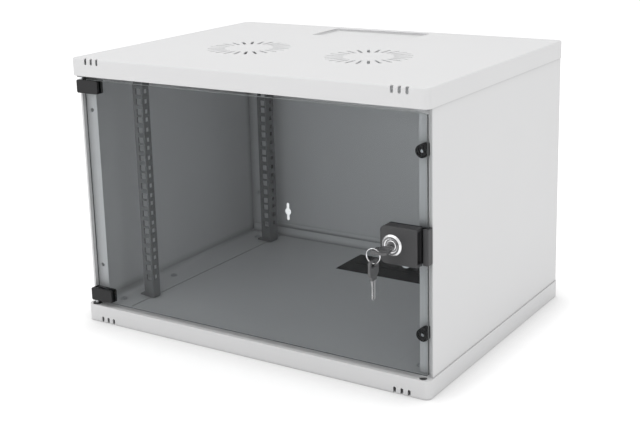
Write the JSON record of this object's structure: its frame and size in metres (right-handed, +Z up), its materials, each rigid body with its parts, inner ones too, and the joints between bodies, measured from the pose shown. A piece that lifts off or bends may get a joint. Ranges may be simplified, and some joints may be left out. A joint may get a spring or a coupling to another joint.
{
  "type": "wall mount network cabinet",
  "caption": "Wall mount rack cabinet: folded steel shell with rack rails, a hinged tinted glass door, cam lock with keys, roof vents and cable entries.",
  "frame": {"origin": "centre of the bottom cover's lower face, midway between the covers' sides, front and rear", "axes": "+X to the right seen from the door, +Y from the door to the wall, +Z up"},
  "size_m": [0.6, 0.5027, 0.416],
  "materials": {
    "white_paint": "fine textured powder coat, light grey white",
    "grey_paint": "satin grey rails",
    "tinted_glass": "polished grey tinted safety glass",
    "black_plastic": "matt moulded",
    "black_rubber": "matt",
    "zinc_steel": "zinc plated",
    "bright_chrome": "polished"
  },
  "bodies": {
    "cabinet": {"top_cover": "white_paint", "bottom_cover": "white_paint", "roof_entry_plate": "white_paint", "floor_panel": "white_paint", "floor_entry_seal": "black_rubber", "left_side_panel": "white_paint", "right_side_panel": "white_paint", "rear_panel": "white_paint", "front_left_rail": "grey_paint", "rear_left_rail": "grey_paint", "front_right_rail": "grey_paint", "rear_right_rail": "grey_paint", "panel_floor_screws": "zinc_steel", "rail_foot_screws": "zinc_steel", "roof_stud_nuts": "zinc_steel", "rear_panel_screws": "zinc_steel", "upper_pivot_bush": "black_plastic", "lower_pivot_bush": "black_plastic", "door_bumpers": "black_rubber"},
    "door": {"door_glass": "tinted_glass", "upper_hinge_clamp": "black_plastic", "lower_hinge_clamp": "black_plastic", "upper_hinge_pin": "zinc_steel", "lower_hinge_pin": "zinc_steel", "hinge_clamp_pads": "black_rubber", "hinge_grub_screws": "zinc_steel", "lock_clamp_front": "black_plastic", "lock_clamp_rear": "black_plastic", "lock_gaskets": "black_rubber", "lock_barrel": "bright_chrome", "lock_nut": "zinc_steel"},
    "lock": {"lock_plug": "bright_chrome", "lock_cam": "zinc_steel", "cam_screw": "zinc_steel"},
    "key": {"key_blade": "bright_chrome", "key_head": "black_plastic"},
    "ring": {"key_ring": "bright_chrome"},
    "spare_key": {"spare_key_blade": "bright_chrome", "spare_key_head": "black_plastic"}
  },
  "joints": [
    {"name": "door_hinge", "type": "hinge", "parent": "cabinet", "child": "door", "pos_m": [-0.287, -0.217, 0.208], "axis": [0, 0, -1], "range_deg": [0, 175]},
    {"name": "lock_turn", "type": "hinge", "parent": "door", "child": "lock", "pos_m": [0.252, -0.2382, 0.21], "axis": [0, -1, 0], "range_deg": [0, 90]},
    {"name": "key_withdraw", "type": "slide", "parent": "lock", "child": "key", "axis": [0, -1, 0], "range_m": [0, 0.03]},
    {"name": "ring_swing", "type": "hinge", "parent": "key", "child": "ring", "pos_m": [0.2425, -0.2667, 0.21], "axis": [0, 1, 0], "range_deg": [-28, 28]},
    {"name": "spare_key_swing", "type": "hinge", "parent": "ring", "child": "spare_key", "pos_m": [0.2425, -0.2667, 0.194], "axis": [1, 0, 0], "range_deg": [-40, 40]}
  ]
}
